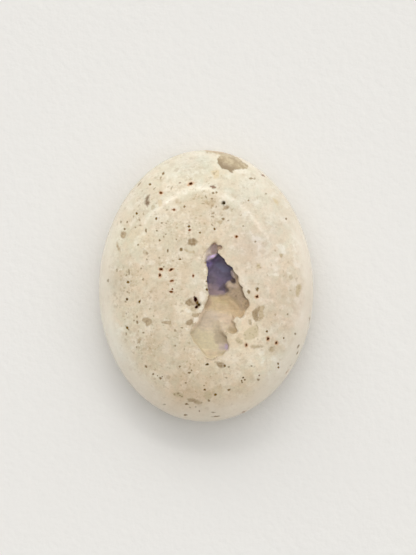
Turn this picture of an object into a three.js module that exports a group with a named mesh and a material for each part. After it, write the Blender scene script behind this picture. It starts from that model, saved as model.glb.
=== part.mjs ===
// A hand-cut cabochon of pale volcanic rock with an opal window, polished all round.
// Millimetres, +Z up: the stone rests on its flat base at z = 0, its long axis along Y.

import * as THREE from "three";

// Driving dimensions
const length = 20; // along Y at the girdle
const width = 15.75; // along X at the girdle
const height = 5.6; // from the base to the top of the dome
const girdleHeight = 1.4; // where the stone is widest
const baseShare = 0.82; // the flat base is this much of the girdle's outline
const domeFullness = 2.25; // 2 is an elliptical dome, more gives a flatter top and steeper sides
const underFullness = 2.0; // the same for the rounding from the girdle in to the base
const taper = 0.027; // the outline is this much narrower towards +Y, and wider towards -Y
const bow = 0.008; // the sides bow towards +X by this share of the half width

// How finely the curves are cut
const stepsAround = 96;
const domeSteps = 22;
const underSteps = 7;
const baseRings = 3;

const stoneColour = 0xdfd0b4;
const polishRoughness = 0.22;

// The point at an angle on a quarter of a superellipse with unit half axes.
function quarterPoint(angle, fullness) {
  const across = Math.pow(Math.cos(angle), 2 / fullness);
  const up = Math.pow(Math.sin(angle), 2 / fullness);
  return { across, up };
}

// Half of the cross-section, from the middle of the base out to the girdle and up to the top.
// Its x is a share of the way from the axis to the girdle, and its y is a height.
function crossSection() {
  const points = [];
  for (let ring = 0; ring < baseRings; ring++) {
    points.push(new THREE.Vector2((baseShare * ring) / baseRings, 0));
  }
  for (let step = 0; step < underSteps; step++) {
    const angle = ((1 - step / underSteps) * Math.PI) / 2;
    const { across, up } = quarterPoint(angle, underFullness);
    const share = baseShare + (1 - baseShare) * across;
    points.push(new THREE.Vector2(share, girdleHeight * (1 - up)));
  }
  for (let step = 0; step < domeSteps; step++) {
    const angle = ((step / domeSteps) * Math.PI) / 2;
    const { across, up } = quarterPoint(angle, domeFullness);
    points.push(new THREE.Vector2(across, girdleHeight + (height - girdleHeight) * up));
  }
  points.push(new THREE.Vector2(0, height));
  return points;
}

// Moves each point of a round solid of radius 1 to the stone's egg-shaped plan.
function shapePlan(geometry) {
  const position = geometry.getAttribute("position");
  for (let i = 0; i < position.count; i++) {
    const across = position.getX(i);
    const along = position.getY(i);
    const x = (width / 2) * (across * (1 - taper * along) + bow * (1 - along * along));
    position.setXY(i, x, (length / 2) * along);
  }
}

// Puts the middle of the stone's box over the origin.
function centrePlan(geometry) {
  geometry.computeBoundingBox();
  const middle = geometry.boundingBox.getCenter(new THREE.Vector3());
  geometry.translate(-middle.x, -middle.y, 0);
}

function makeCabochon() {
  const geometry = new THREE.LatheGeometry(crossSection(), stepsAround);
  geometry.rotateX(Math.PI / 2);
  shapePlan(geometry);
  centrePlan(geometry);
  geometry.computeVertexNormals();
  const material = new THREE.MeshStandardMaterial({
    color: stoneColour,
    roughness: polishRoughness,
    metalness: 0,
  });
  const cabochon = new THREE.Mesh(geometry, material);
  cabochon.name = "cabochon";
  return cabochon;
}

const stone = new THREE.Group();
stone.add(makeCabochon());

export default stone;
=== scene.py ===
import math
import random

import bmesh
import bpy
import numpy as np
from mathutils import Matrix, Vector, noise
from mathutils.bvhtree import BVHTree


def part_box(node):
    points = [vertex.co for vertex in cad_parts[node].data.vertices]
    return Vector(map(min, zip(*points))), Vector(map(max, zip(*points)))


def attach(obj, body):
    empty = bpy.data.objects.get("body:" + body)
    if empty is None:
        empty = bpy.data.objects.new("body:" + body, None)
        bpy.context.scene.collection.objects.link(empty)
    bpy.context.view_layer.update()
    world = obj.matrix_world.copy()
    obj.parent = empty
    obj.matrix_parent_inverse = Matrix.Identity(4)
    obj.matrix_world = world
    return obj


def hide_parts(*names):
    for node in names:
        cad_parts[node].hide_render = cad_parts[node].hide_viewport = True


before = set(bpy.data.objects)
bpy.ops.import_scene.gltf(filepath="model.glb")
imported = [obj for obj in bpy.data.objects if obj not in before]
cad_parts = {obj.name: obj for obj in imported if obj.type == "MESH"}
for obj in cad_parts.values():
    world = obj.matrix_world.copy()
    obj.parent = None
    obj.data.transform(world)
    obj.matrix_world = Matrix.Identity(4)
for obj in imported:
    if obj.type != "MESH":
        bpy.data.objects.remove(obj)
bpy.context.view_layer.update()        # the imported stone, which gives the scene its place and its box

stoneLow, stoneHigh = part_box("cabochon")
mm = 0.001


# Camera: nearly straight down, as the photograph was taken

photo = {
    "wide": 416,
    "tall": 555,
    "stoneMiddle": (206.2, 285.4),   # where the middle of the stone lies in the photograph
    "pixelsPerMm": 13.62,            # at the height of the girdle
}
cameraSettings = {
    "elevation": math.radians(86),
    "distance": 240 * mm,
    "sensor": 36,                    # along the photograph's long side
    "aimHeight": 1.6 * mm,
}


def makeCamera():
    c = cameraSettings
    back = Vector((0, -math.cos(c["elevation"]), math.sin(c["elevation"])))
    right = Vector((1, 0, 0))
    up = back.cross(right)
    focal = c["distance"] / mm * photo["pixelsPerMm"]      # in pixels
    stepX = (photo["wide"] / 2 - photo["stoneMiddle"][0]) / photo["pixelsPerMm"] * mm
    stepY = (photo["stoneMiddle"][1] - photo["tall"] / 2) / photo["pixelsPerMm"] * mm
    target = Vector((0, 0, c["aimHeight"])) + right * stepX + up * stepY
    data = bpy.data.cameras.new("camera")
    data.sensor_width = c["sensor"]
    data.lens = focal * c["sensor"] / photo["tall"]
    data.clip_start = 10 * mm
    data.clip_end = 10
    camera = bpy.data.objects.new("camera", data)
    camera.location = target + back * c["distance"]
    camera.rotation_euler = back.to_track_quat("Z", "Y").to_euler()
    bpy.context.scene.collection.objects.link(camera)
    bpy.context.scene.camera = camera
    return {"place": camera.location.copy(), "right": right, "up": up, "back": back, "focal": focal}


eye = makeCamera()


def rayThrough(spot):
    # direction from the camera through a pixel of the photograph
    x = (spot[0] - photo["wide"] / 2) / eye["focal"]
    y = (photo["tall"] / 2 - spot[1]) / eye["focal"]
    return (eye["right"] * x + eye["up"] * y - eye["back"]).normalized()


def pixelsOf(points):
    # where points of the stone lie in the photograph
    away = points - np.array(eye["place"])
    depth = -away @ np.array(eye["back"])
    x = photo["wide"] / 2 + eye["focal"] * (away @ np.array(eye["right"])) / depth
    y = photo["tall"] / 2 - eye["focal"] * (away @ np.array(eye["up"])) / depth
    return np.stack([x, y], 1)


print("camera ready")


# Form of the stone

form = {
    "width": 15.75 * mm,
    "length": 20 * mm,
    "height": stoneHigh.z - stoneLow.z,
    "girdleHeight": 1.4 * mm,
    "baseShare": 0.82,               # the flat base against the girdle's outline
    "domeFullness": 2.25,
    "underFullness": 2.0,
    "taper": 0.027,
    "bow": 0.008,
    "stepsAround": 100,              # before each is cut in four
    "domeRings": 28,
    "underRings": 6,
    "baseRings": 2,
    "cuts": 3,
    "poleShift": (0.155, -0.12),     # draws the pole of the mesh into the opal window
    "waver": 0.012 * mm,             # a hand-ground dome is never quite true
    "waverFrom": 1.3,                # from this many times the girdle's height up
}


def quarterPoint(angle, fullness):
    return math.cos(angle) ** (2 / fullness), math.sin(angle) ** (2 / fullness)


def crossSection():
    # share of the way out, height: from the middle of the base to the top
    f = form
    points = [(f["baseShare"] * i / f["baseRings"], 0.0) for i in range(f["baseRings"])]
    for i in range(f["underRings"]):
        across, up = quarterPoint((1 - i / f["underRings"]) * math.pi / 2, f["underFullness"])
        points.append((f["baseShare"] + (1 - f["baseShare"]) * across, f["girdleHeight"] * (1 - up)))
    for i in range(f["domeRings"]):
        across, up = quarterPoint(i / f["domeRings"] * math.pi / 2, f["domeFullness"])
        points.append((across, f["girdleHeight"] + (f["height"] - f["girdleHeight"]) * up))
    points.append((0.0, f["height"]))
    return points


def domeHeight(share):
    # height of the dome at a share of the way out to the girdle
    p = form["domeFullness"]
    rise = np.clip(1 - share ** p, 0, None) ** (1 / p)
    return form["girdleHeight"] + (form["height"] - form["girdleHeight"]) * rise


def planOf(across, along):
    # the egg-shaped outline, from the unit circle
    f = form
    x = f["width"] / 2 * (across * (1 - f["taper"] * along) + f["bow"] * (1 - along * along))
    return x, f["length"] / 2 * along


def trueCurve(points):
    # the cuts lie on straight chords: this puts them on the round section
    f = form
    x, y, z = points.T.copy()
    wedge = math.tau / f["stepsAround"]
    within = np.mod(np.arctan2(y, x), wedge) - wedge / 2
    outward = np.cos(within) / math.cos(wedge / 2)
    x, y = x * outward, y * outward
    share = np.hypot(x, y)
    above = z > f["girdleHeight"]
    rise = (z - f["girdleHeight"]) / (f["height"] - f["girdleHeight"])
    p = f["domeFullness"]
    grow = (share ** p + np.clip(rise, 0, None) ** p) ** (-1 / p)
    domeShare = np.where(above, share * grow, share)
    rim = np.clip((share - f["baseShare"]) / (1 - f["baseShare"]), 0, None)
    drop = (f["girdleHeight"] - z) / f["girdleHeight"]
    q = f["underFullness"]
    under = ~above & (rim > 1e-4)
    shrink = np.where(under, (rim ** q + np.clip(drop, 0, None) ** q + 1e-12) ** (-1 / q), 1)
    newShare = np.where(under & (z > 1e-7), f["baseShare"] + (1 - f["baseShare"]) * rim * shrink, domeShare)
    newZ = np.where(under & (z > 1e-7), f["girdleHeight"] * (1 - drop * shrink), z)
    ratio = np.where(share > 1e-9, newShare / np.maximum(share, 1e-9), 1)
    x, y = x * ratio, y * ratio
    inside = np.where(above, np.clip(1 - newShare ** 2, 0, 1), 0)
    x = x + f["poleShift"][0] * inside
    y = y + f["poleShift"][1] * inside
    newZ = np.where(above, domeHeight(np.hypot(x, y)), newZ)
    return np.stack([x, y, newZ], 1)


def onPlan(points):
    x, y = planOf(points[:, 0], points[:, 1])
    return np.stack([x, y, points[:, 2]], 1)


def roundBody():
    bm = bmesh.new()
    verts = [bm.verts.new((x, 0, z)) for x, z in crossSection()]
    edges = [bm.edges.new(pair) for pair in zip(verts, verts[1:])]
    bmesh.ops.spin(
        bm, geom=verts + edges, cent=(0, 0, 0), axis=(0, 0, 1), angle=math.tau,
        steps=form["stepsAround"], use_merge=True,
    )
    bmesh.ops.remove_doubles(bm, verts=bm.verts, dist=1e-7)
    bmesh.ops.subdivide_edges(bm, edges=bm.edges, cuts=form["cuts"], use_grid_fill=True)
    bmesh.ops.recalc_face_normals(bm, faces=bm.faces)
    return bm


def makePiece(name, bm):
    mesh = bpy.data.meshes.new(name)
    bm.to_mesh(mesh)
    bm.free()
    piece = bpy.data.objects.new(name, mesh)
    bpy.context.scene.collection.objects.link(piece)
    return piece


def getPoints(mesh):
    flat = np.empty(len(mesh.vertices) * 3)
    mesh.vertices.foreach_get("co", flat)
    return flat.reshape(-1, 3)


def setPoints(mesh, points):
    mesh.vertices.foreach_set("co", points.ravel())
    mesh.update()


# Marks in the rock, listed by their tone, from 0, nearly black, to 1, hardly seen:
# x and y in the photograph, half the width and half the height in pixels, and the turn in degrees
rustSpecks = {
    0: [(195.5, 299.4, 1.8, 3.1, 12), (196.4, 307.1, 2, 1.4, 30)],
    0.1: [(190.5, 183.7, 2.4, 1.3, 20), (160.9, 269.3, 1.9, 1.4), (171.3, 269.6, 2.1, 1.1, 20),
        (159.9, 275.4, 1.2, 1.7), (256.8, 296.8, 1.5, 1.4), (268, 338.9, 1.3, 1.8),
        (276.4, 342.8, 1.4, 1.4), (246.3, 345.2, 1.2, 1.7, 15)],
    0.2: [(161, 193, 1.6, 1.4), (236.6, 236.7, 1.4, 1.3), (193.2, 275.8, 0.9, 1.5)],
    0.3: [(174, 209.7, 1.9, 1.1), (172, 280.8, 1.7, 1.2, 25)],
    0.4: [(189.8, 230, 1.5, 1), (172.2, 289.2, 0.9, 1), (171.2, 291.8, 2.3, 1.3)],
    0.5: [(259.2, 375.5, 0.8, 0.8)],
    0.6: [(263, 175.4, 2, 0.9, -30), (213, 187, 2.9, 1.6, -20), (199.3, 411, 0.9, 0.9)],
    0.7: [(179.9, 182.8, 1.3, 0.8, 20)],
}
darkSpecks = {
    0: [(223.7, 203, 2.1, 2.1)],
    0.1: [(198.8, 304.8, 2.2, 1.5, 25)],
    0.2: [(127, 299.1, 1.1, 1.6), (207.1, 364.4, 1.8, 1.1, 10), (243.2, 377.7, 0.9, 0.9)],
    0.3: [(197.3, 302.6, 1, 1.6, -20), (150, 184.3, 1.3, 1.2), (136.7, 213.5, 1.2, 1.3),
        (156.4, 218.4, 1.1, 1.7), (188.9, 226.3, 1.5, 1.3), (214.5, 228.8, 1.2, 1.3),
        (206.7, 289.6, 1.2, 1.5), (139.6, 301.7, 1.1, 2, -20), (266.8, 331.4, 1.2, 1.2),
        (283.8, 338, 0.9, 1), (224.9, 365.9, 1.1, 1.3)],
    0.4: [(199.9, 232.5, 1, 0.9), (179.8, 259.3, 1.4, 1.1), (206.7, 281.2, 1.1, 0.8),
        (128, 282.3, 1.3, 1.5), (127.2, 327.8, 1.1, 2.4, 38), (278, 363.9, 1, 1.2), (278.3, 367.3, 1, 1),
        (157.5, 375.7, 0.8, 0.6), (244.8, 379.8, 0.9, 0.9), (241.6, 380.5, 0.9, 0.9),
        (229, 389.7, 1.9, 1, 25), (204.8, 389.8, 1.1, 1.1), (215.5, 394.8, 1.5, 1.3)],
    0.5: [(163.1, 173.7, 2, 1.1, 62), (248.5, 200.3, 1, 0.9), (184.3, 206.6, 1.2, 1.1),
        (223.4, 219, 1.7, 1.3, -20), (127.2, 222.2, 0.9, 1.2), (124.5, 229.1, 1.4, 1),
        (145.9, 230.5, 0.9, 2), (156.8, 230.8, 1.1, 0.9), (159.5, 240.3, 1, 1.3), (180.9, 249.5, 1.6, 1.7),
        (167.8, 250.8, 1, 1.6), (205.4, 262.5, 1.2, 0.9), (257.2, 289.3, 1.5, 2.4),
        (146.2, 366.5, 1.4, 1.4), (191.4, 370.3, 0.9, 0.8), (189.4, 372.8, 1.6, 1),
        (153.1, 374.2, 1.3, 1.1), (160.5, 378.1, 1.5, 1.3), (242.2, 382.3, 0.9, 0.9),
        (186.6, 404.1, 2.1, 1.1), (185.6, 415, 1.8, 0.9)],
    0.6: [(251, 178.5, 1.8, 1.3), (139.3, 184.1, 3, 0.7, 48), (216.4, 192.4, 1.3, 1.1, -40),
        (213, 193, 1.2, 1.2), (212, 198.8, 1.2, 1), (286, 218.8, 1.1, 1.3), (161.6, 223, 1.1, 0.8),
        (176.3, 239.5, 0.9, 1.1), (255.4, 241.7, 1.2, 1), (138.1, 244.6, 1.1, 0.9),
        (163.7, 266.8, 1.1, 1.1), (248.7, 291.8, 1.8, 2), (287.6, 314.2, 1, 0.9), (309.6, 319, 0.7, 2.2),
        (137.3, 322.4, 0.9, 2.1, 20), (181.8, 327.8, 1.8, 0.6, 5), (143.4, 332.7, 1, 0.9),
        (295.2, 333.9, 1, 1.2), (298.2, 346.4, 0.8, 2.2, -30), (251.4, 366, 1.1, 0.9),
        (179.9, 366.5, 1.1, 1.2), (162, 376.5, 0.9, 0.7), (258.3, 379.6, 1.5, 1.2), (185.7, 383, 1, 1),
        (204.1, 385.4, 0.8, 0.7), (208.8, 400.7, 1.5, 1.1), (216, 416.4, 4.5, 0.6, 5)],
    0.7: [(120.9, 221.8, 0.9, 1.4), (160.8, 177.6, 2, 0.8, 60), (254.5, 178.8, 1, 1.2),
        (154.2, 188.6, 1.8, 0.6, 40), (266, 193.8, 1, 1), (206.1, 197.2, 2.2, 0.8, -63),
        (216, 206.5, 0.9, 1.2), (212.7, 213.4, 1.8, 1, 25), (212.5, 216.6, 1.6, 1),
        (139.5, 219.5, 0.8, 2, 15), (228.5, 220.4, 1.5, 0.8, 25), (166, 223.4, 0.8, 0.7),
        (212.4, 225, 1.7, 0.8, -40), (140.4, 225.4, 1.4, 0.9), (243.3, 226.2, 1.2, 1),
        (135.3, 227.4, 1, 0.8), (165.8, 234.2, 0.9, 0.8), (163.9, 236.8, 0.9, 1), (159.5, 258, 1, 1.1),
        (147, 259.5, 1, 1), (141, 268.4, 1, 0.9), (116.9, 270, 0.8, 2), (129, 272, 0.9, 3),
        (126.3, 275.3, 1, 0.9), (143, 279.5, 1.2, 1.3), (108, 280.7, 1, 1.8), (127.3, 292, 0.9, 1),
        (125.6, 301.6, 1.3, 0.8, -30), (137, 316.6, 0.9, 1.3), (134, 320.5, 0.8, 0.8),
        (175, 330.5, 0.8, 1.2), (126.3, 334, 0.9, 1.6), (175.3, 345.7, 1, 1.1), (136.5, 347, 0.9, 1),
        (228.8, 367, 1.2, 1), (226.4, 377.9, 1.1, 0.9), (181.8, 396.6, 0.8, 0.8), (178.2, 393.5, 1.4, 1.2),
        (180, 395.4, 0.8, 0.6), (213, 412.3, 2.5, 0.6)],
    0.8: [(172, 187.3, 2.2, 0.7, 60), (203, 203.6, 2, 0.6, -10), (167, 210, 1.4, 1),
        (143.3, 213.6, 0.6, 1.2), (222.3, 215, 1.2, 0.7, 20), (133.5, 216.5, 0.8, 1.2),
        (147.2, 253.3, 1.2, 1.2), (126.4, 313.7, 0.8, 1), (153.6, 316, 0.9, 0.9), (184.2, 349, 0.9, 1.1),
        (174.5, 394.2, 1, 0.7), (164.3, 404.4, 1.6, 0.8), (195.7, 407, 1, 0.8), (190, 407.4, 1, 0.8)],
}


def markList(marks):
    # each mark as x, y, half width, half height, turn, tone
    listed = []
    for tone, places in marks.items():
        for x, y, wide, high, *turn in places:
            listed.append((x, y, wide, high, turn[0] if turn else 0, tone))
    return listed


rustyMarks = markList(rustSpecks)
specks = rustyMarks + markList(darkSpecks)

# Small translucent fillings, greyer than the rock, drawn around in the photograph: tone, outline
fillings = [
    (0.26, [(252, 312), (255.4, 309.1), (260.3, 306.4), (260, 310), (258.6, 314), (259.4, 318),
        (258, 321.2), (255.8, 321), (254, 318.9), (252.4, 315.6)]),
    (0.62, [(259.6, 306.8), (264.2, 304.5), (264.4, 307.8), (263, 311), (264.7, 315.6), (263.3, 317.9),
        (258.6, 321.4), (257.6, 315), (258.6, 311)]),
    (0.95, [(243.4, 334.6), (245.7, 330.9), (251.3, 326.7), (255.4, 324.9), (258.2, 326.3), (258.7, 331.8),
        (257.7, 337.4), (253.1, 339.2), (248.5, 340.6), (244.8, 339.2)]),
    (0.6, [(254.6, 325.2), (257.6, 324.6), (258.6, 328), (258.2, 333.4), (256.4, 333.8), (256.2, 329)]),
    (0.55, [(248.5, 319.8), (250.5, 318.9), (251.7, 322), (250.8, 324.6), (249, 323.7)]),
    (0.72, [(235.5, 339.2), (238.8, 337.4), (242, 340.1), (242.9, 342.9), (239.7, 344.3), (236.5, 342.9)]),
    (0.62, [(249.4, 346.1), (254, 344.8), (260.5, 345.2), (264.2, 346.1), (260.5, 347.1), (255, 348.5),
        (250.8, 348)]),
    (0.6, [(269, 348.5), (271, 346.6), (274, 347.4), (274.6, 350), (272.6, 352.3), (269.8, 351.4)]),
    (0.7, [(297.5, 284.6), (300.7, 283.7), (301.7, 286.9), (299.8, 293), (298, 297.1), (296.1, 296.7),
        (295.2, 291.1)]),
    (0.22, [(214.7, 362.3), (218.9, 361.9), (222.6, 362.3), (225.4, 364.6), (224.4, 367.4), (221.2, 367.9),
        (218, 365.6)]),
    (0.13, [(188.8, 238.8), (192.8, 238.3), (196.3, 240.5), (199, 242.3), (196.3, 243.7), (195, 245.9),
        (190.5, 245.9), (187.9, 243.7), (188.3, 241)]),
    (0.65, [(184.3, 248.6), (189.6, 250.8), (196.8, 251.3), (195, 253.5), (189.6, 253.5), (185.2, 250.8)]),
    (0.02, [(149.4, 194.4), (150.4, 194.4), (148.4, 198.4), (147.8, 200.8), (150.2, 200.8), (149.6, 203.4),
        (147.4, 205.8), (145, 204.2), (144.6, 201.6), (146, 197.8)]),
    (0.74, [(158, 200), (161.3, 199.4), (162.2, 202), (161.8, 206.5), (159, 206.5)]),
    (0.5, [(121.3, 232), (125.4, 231.6), (126.3, 235.2), (124.5, 239.2), (122.7, 238.8), (120.9, 235.2)]),
    (0.6, [(117.3, 241.4), (118.6, 246), (120.9, 252.1), (118.7, 251.3), (116.6, 245.9)]),
    (0.5, [(209.6, 198.6), (212.8, 199.6), (214.2, 203), (213.6, 206.8), (211.2, 208.2), (210, 205),
        (210.4, 202)]),
    (0.55, [(204.4, 201.2), (207.2, 200), (209.8, 202.4), (209.2, 205), (206.6, 204.2)]),
    (0.25, [(223, 209), (224, 206.6), (226.3, 205), (228.8, 205.2), (229.2, 207.2), (227.8, 209.2),
        (225.5, 209.8)]),
    (0.55, [(219, 221.2), (221, 219.4), (222.6, 220.5), (221.8, 223), (220, 224.4), (218.8, 223)]),
    (0.78, [(272, 197.7), (276.4, 199.5), (278.7, 202.1), (277.8, 205.3), (274.6, 203)]),
    (0.8, [(211.3, 170.9), (218.4, 170), (219.7, 172.7), (218.4, 178), (214.8, 178.9), (211.7, 174.5)]),
    (0.42, [(142.6, 318.4), (146.8, 317), (150, 318.9), (152.4, 322.1), (149.1, 325.3), (146.8, 326.3),
        (145, 323.5), (142.6, 321.2)]),
    (0.5, [(160.7, 322.6), (165.3, 320.7), (170.9, 321.6), (171.8, 323.5), (170.4, 326.3), (168.1, 323.9),
        (163.5, 323.9)]),
    (0.28, [(185.6, 323.6), (187.4, 321.2), (190.6, 319), (192.6, 319), (193, 321.8), (191.6, 324.8),
        (188.6, 326)]),
    (0.66, [(191.5, 325.5), (193.8, 324), (196, 323.5), (195, 326.5), (192.6, 328.5)]),
    (0.48, [(191.4, 315.8), (192.4, 313.8), (199.6, 313.8), (199.2, 316.6), (192.4, 316.8)]),
    (0.24, [(185.8, 301), (188, 298.6), (192, 297.6), (195, 301), (196.6, 304), (194, 306.4),
        (191.5, 305.6), (188, 306), (185.4, 304)]),
    (0, [(194, 297), (197.4, 298), (197.8, 301.6), (200.8, 302.8), (200.6, 306), (197.4, 309),
        (194.8, 307.6), (195.6, 304), (193.4, 301)]),
    (0.68, [(190.5, 305), (195, 305.5), (197.5, 309), (195.5, 311.4), (191.5, 310.4)]),
    (0.45, [(187.5, 399.3), (192.1, 398.4), (198.6, 400.3), (202.3, 402.6), (198.6, 404.4), (193.1, 402.1),
        (188.4, 401.2)]),
    (0.72, [(173, 393.5), (178, 391.8), (183.5, 394.5), (183, 397.5), (177, 396.5)]),
    (0.52, [(137.1, 339.2), (139.9, 337.4), (141.3, 339.2), (139.9, 343.8), (138, 342.9)]),
    (0.74, [(205, 392), (210.5, 391), (211.5, 397), (208, 401), (205, 398)]),
    (0.6, [(279.5, 254), (282.6, 253.7), (283, 256.8), (280, 257.2)]),
    (0.7, [(256.5, 263), (260.3, 263.7), (261.2, 268), (258, 269.5), (256, 266.5)]),
    (0.4, [(203, 149.6), (213, 150.2), (224, 151.8), (228, 153.4), (221, 155), (212, 152.8), (205, 151.6)]),
]

# Crumbs of white rock beside the window and at the right
crumbs = [
    [(200, 307.4), (201, 305.4), (203.5, 305.4), (204.2, 307.8), (202.4, 309.2), (199.5, 310.4),
        (198, 309.6)],
    [(192.6, 318.4), (194.5, 317.2), (198.4, 317.6), (198.2, 320.5), (196, 322.6), (193.8, 322)],
    [(204.2, 268), (206.4, 267.5), (206.6, 273), (205.6, 276.5), (204, 273)],
    [(204.2, 279.5), (205.4, 277.5), (205.2, 285), (206.4, 287.5), (204, 288.5)],
    [(184.8, 328.5), (187.5, 326.2), (191.2, 328), (190.2, 330.8), (186.5, 330.8)],
    [(186.6, 308), (189.5, 309.6), (190.5, 312.4), (187.5, 312.8), (185.5, 310)],
    [(199, 292), (202, 290), (205, 292), (206, 295), (204.5, 299), (202.8, 302), (200.8, 302),
        (199.5, 298)],
    [(267, 273.6), (274, 272.4), (279, 273.4), (279.5, 276.8), (276, 276.2), (270, 275)],
    [(287, 272.5), (290.5, 272), (291, 274.8), (288, 275.3)],
]

# The tan filling at the edge of the dome, and its darker lower part
tanPatch = [
    (217.1, 158.4), (221.1, 154.4), (224.2, 152.3), (230.4, 153.5), (235.4, 156.2), (239.4, 158.8),
    (243.4, 162), (247, 163.8), (248.8, 166), (247, 168.4), (242.5, 169.3), (238, 169.6), (234.5, 169.8),
    (232.7, 171.4), (233.8, 174), (230.9, 172.4), (227.3, 170), (222.9, 168.7), (219.7, 166.4),
    (217.9, 162.9),
]
tanPatchDark = [
    (216, 159), (220.5, 159.5), (223.5, 163.5), (229.5, 166), (236, 168.6), (234, 174.5), (229, 172.5),
    (222, 170), (217, 166),
]


def ellipseReach(pixels, mark, margin=0.0):
    # 0 at the middle of a mark and 1 at its edge
    x, y, halfWide, halfTall, turn, tone = mark
    dx, dy = pixels[:, 0] - x, y - pixels[:, 1]
    a = math.radians(turn)
    along = dx * math.cos(a) + dy * math.sin(a)
    across = dy * math.cos(a) - dx * math.sin(a)
    return np.hypot(along / (halfWide + margin), across / (halfTall + margin))


farReach = 9.0           # where no mark is near
farPixels = 99.0         # where no outline is near


def nearestMark(pixels, marks):
    # reach to the nearest mark, that mark's tone, and which one it is
    reach = np.full(len(pixels), farReach)
    tone = np.ones(len(pixels))
    nearest = np.zeros(len(pixels), int)
    for i, mark in enumerate(marks):
        own = ellipseReach(pixels, mark)
        closer = own < reach
        reach[closer] = own[closer]
        tone[closer] = mark[5]
        nearest[closer] = i
    return reach, tone, nearest


def outlineDistance(pixels, outline):
    # pixels from an outline, less than 0 inside it
    best = np.full(len(pixels), 1e9)
    inside = np.zeros(len(pixels), bool)
    x, y = pixels[:, 0], pixels[:, 1]
    for (ax, ay), (bx, by) in zip(outline, outline[1:] + outline[:1]):
        ex, ey = bx - ax, by - ay
        t = np.clip(((x - ax) * ex + (y - ay) * ey) / (ex * ex + ey * ey), 0, 1)
        best = np.minimum(best, np.hypot(x - ax - t * ex, y - ay - t * ey))
        crosses = (ay > y) != (by > y)
        if ay != by:
            inside ^= crosses & (x < ax + (y - ay) * ex / ey)
    return np.where(inside, -best, best)


def nearestOutline(pixels, outlines, margin=8):
    # pixels from the nearest of several outlines, less than 0 inside, and which one it is
    distance = np.full(len(pixels), farPixels)
    nearest = np.zeros(len(pixels), int)
    for i, outline in enumerate(outlines):
        low, high = np.min(outline, 0) - margin, np.max(outline, 0) + margin
        near = np.flatnonzero(((pixels > low) & (pixels < high)).all(1))
        own = outlineDistance(pixels[near], outline)
        closer = own < distance[near]
        distance[near[closer]] = own[closer]
        nearest[near[closer]] = i
    return distance, nearest


# Extra cuts where the small marks are: pixels around each, and the lowest, in girdle heights
fineCuts = {"margin": 1.6, "cuts": 2, "above": 1.02}


def cutAroundMarks(bm):
    middles = np.array([f.calc_center_median() for f in bm.faces])
    pixels = pixelsOf(onPlan(trueCurve(middles)))
    near = np.zeros(len(pixels), bool)
    for mark in specks:
        near |= ellipseReach(pixels, mark, fineCuts["margin"]) < 1
    near &= middles[:, 2] > form["girdleHeight"] * fineCuts["above"]
    bm.faces.ensure_lookup_table()
    edges = {e for i in np.flatnonzero(near) for e in bm.faces[i].edges}
    bmesh.ops.subdivide_edges(bm, edges=list(edges), cuts=fineCuts["cuts"], use_grid_fill=True)


def waverOf(points):
    # slow swells of the hand-ground dome
    x, y = points[:, 0] / mm, points[:, 1] / mm
    swell = np.sin(0.9 * x + 0.4 * y + 1) + np.sin(0.5 * x - 1.1 * y + 2.3) + np.sin(1.7 * x + 1.3 * y)
    return swell / 3


body = roundBody()
cutAroundMarks(body)
stone = makePiece("stone", body)
points = onPlan(trueCurve(getPoints(stone.data)))
middle = (points.min(0) + points.max(0)) / 2
points[:, :2] -= middle[:2]
onDome = points[:, 2] > form["girdleHeight"] * form["waverFrom"]
points[:, 2] += np.where(onDome, form["waver"] * (waverOf(points) - 1), 0)
setPoints(stone.data, points)
print("stone body", len(stone.data.polygons), "faces")

tree = BVHTree.FromPolygons([tuple(p) for p in points], [tuple(f.vertices) for f in stone.data.polygons])


def onStone(spot):
    hit = tree.ray_cast(eye["place"], rayThrough(spot))
    return hit[0]


def heightOver(x, y):
    hit = tree.ray_cast(Vector((x, y, 50 * mm)), Vector((0, 0, -1)))
    return hit[0].z if hit[0] else 0.0


# The opal window: its outline on the polished face, and the zones seen through the clear opal

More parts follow.
